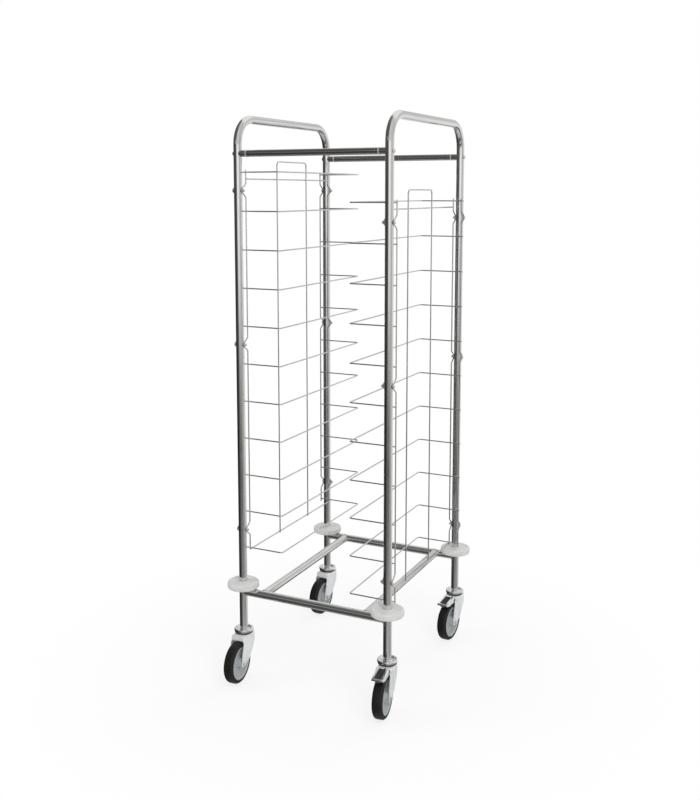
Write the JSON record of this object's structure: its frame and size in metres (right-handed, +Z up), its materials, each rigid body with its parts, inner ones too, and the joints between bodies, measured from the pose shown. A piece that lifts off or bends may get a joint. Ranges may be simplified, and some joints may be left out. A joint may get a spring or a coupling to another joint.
{
  "type": "tray return trolley",
  "caption": "Tall open trolley of bent stainless tube with wire tray ledges on both sides, bumper discs and swivel casters.",
  "frame": {"origin": "on the floor, below the centre of the whole trolley's box", "axes": "+Z up, -Y towards the front where trays go in, +X to the right as seen from the front"},
  "size_m": [0.586, 0.7297, 1.7315],
  "materials": {
    "frame_tube": "polished",
    "cross_tube": "polished",
    "lower_tube": "polished",
    "bar_fittings": "polished",
    "bolts": "satin",
    "rack_wire": "polished",
    "bumper_plastic": "matte",
    "zinc_head": "bright",
    "zinc_fork": "satin",
    "zinc_pedal": "satin",
    "race_ring": "matte",
    "core_plastic": "matte",
    "tyre_rubber": "matte",
    "pedal_pad": "matte"
  },
  "bodies": {
    "frame": {"side_frame_left": "frame_tube", "side_frame_right": "frame_tube", "top_bar_front": "cross_tube", "top_bar_rear": "cross_tube", "top_bar_ends": "bar_fittings", "top_bar_bolts": "bolts", "lower_bar_front": "lower_tube", "lower_bar_rear": "lower_tube", "lower_rail_left": "lower_tube", "lower_rail_right": "lower_tube", "bumper_front_left": "bumper_plastic", "bumper_front_right": "bumper_plastic", "bumper_rear_left": "bumper_plastic", "bumper_rear_right": "bumper_plastic", "ledges_left": "rack_wire", "end_wires_left": "rack_wire", "guard_wires_left": "rack_wire", "guard_loop_left": "rack_wire", "ledges_right": "rack_wire", "end_wires_right": "rack_wire", "guard_wires_right": "rack_wire", "guard_loop_right": "rack_wire", "rack_bolts": "bolts", "rack_nuts": "bolts", "head_front_left": "zinc_head", "race_front_left": "race_ring", "head_front_right": "zinc_head", "race_front_right": "race_ring", "head_rear_left": "zinc_head", "race_rear_left": "race_ring", "head_rear_right": "zinc_head", "race_rear_right": "race_ring"},
    "swivel_front_left": {"fork_front_left": "zinc_fork", "axle_front_left": "bolts", "axle_nut_front_left": "bolts"},
    "wheel_front_left": {"core_front_left": "core_plastic", "tyre_front_left": "tyre_rubber"},
    "swivel_front_right": {"fork_front_right": "zinc_fork", "axle_front_right": "bolts", "axle_nut_front_right": "bolts", "pedal_pin_front_right": "bolts"},
    "wheel_front_right": {"core_front_right": "core_plastic", "tyre_front_right": "tyre_rubber"},
    "brake_front_right": {"pedal_front_right": "zinc_pedal", "pedal_pad_front_right": "pedal_pad"},
    "swivel_rear_left": {"fork_rear_left": "zinc_fork", "axle_rear_left": "bolts", "axle_nut_rear_left": "bolts"},
    "wheel_rear_left": {"core_rear_left": "core_plastic", "tyre_rear_left": "tyre_rubber"},
    "swivel_rear_right": {"fork_rear_right": "zinc_fork", "axle_rear_right": "bolts", "axle_nut_rear_right": "bolts", "pedal_pin_rear_right": "bolts"},
    "wheel_rear_right": {"core_rear_right": "core_plastic", "tyre_rear_right": "tyre_rubber"},
    "brake_rear_right": {"pedal_rear_right": "zinc_pedal", "pedal_pad_rear_right": "pedal_pad"}
  },
  "joints": [
    {"name": "swivel_front_left", "type": "hinge", "parent": "frame", "child": "swivel_front_left", "pos_m": [-0.244, -0.25625, 0.141], "axis": [0, 0, 1], "continuous": true},
    {"name": "roll_front_left", "type": "hinge", "parent": "swivel_front_left", "child": "wheel_front_left", "pos_m": [-0.24159, -0.30219, 0.0625], "axis": [0.9986, 0.0523, 0], "continuous": true},
    {"name": "swivel_front_right", "type": "hinge", "parent": "frame", "child": "swivel_front_right", "pos_m": [0.244, -0.25625, 0.141], "axis": [0, 0, 1], "continuous": true},
    {"name": "roll_front_right", "type": "hinge", "parent": "swivel_front_right", "child": "wheel_front_right", "pos_m": [0.24961, -0.30191, 0.0625], "axis": [0.9925, 0.1219, 0], "continuous": true},
    {"name": "brake_front_right", "type": "hinge", "parent": "swivel_front_right", "child": "brake_front_right", "pos_m": [0.24778, -0.28702, 0.134], "axis": [0.9925, 0.1219, 0], "range_deg": [0, 10]},
    {"name": "swivel_rear_left", "type": "hinge", "parent": "frame", "child": "swivel_rear_left", "pos_m": [-0.244, 0.31575, 0.141], "axis": [0, 0, 1], "continuous": true},
    {"name": "roll_rear_left", "type": "hinge", "parent": "swivel_rear_left", "child": "wheel_rear_left", "pos_m": [-0.24641, 0.26981, 0.0625], "axis": [0.9986, -0.0523, 0], "continuous": true},
    {"name": "swivel_rear_right", "type": "hinge", "parent": "frame", "child": "swivel_rear_right", "pos_m": [0.244, 0.31575, 0.141], "axis": [0, 0, 1], "continuous": true},
    {"name": "roll_rear_right", "type": "hinge", "parent": "swivel_rear_right", "child": "wheel_rear_right", "pos_m": [0.23999, 0.26993, 0.0625], "axis": [0.9962, -0.0872, 0], "continuous": true},
    {"name": "brake_rear_right", "type": "hinge", "parent": "swivel_rear_right", "child": "brake_rear_right", "pos_m": [0.2413, 0.28487, 0.134], "axis": [0.9962, -0.0872, 0], "range_deg": [0, 10]}
  ]
}
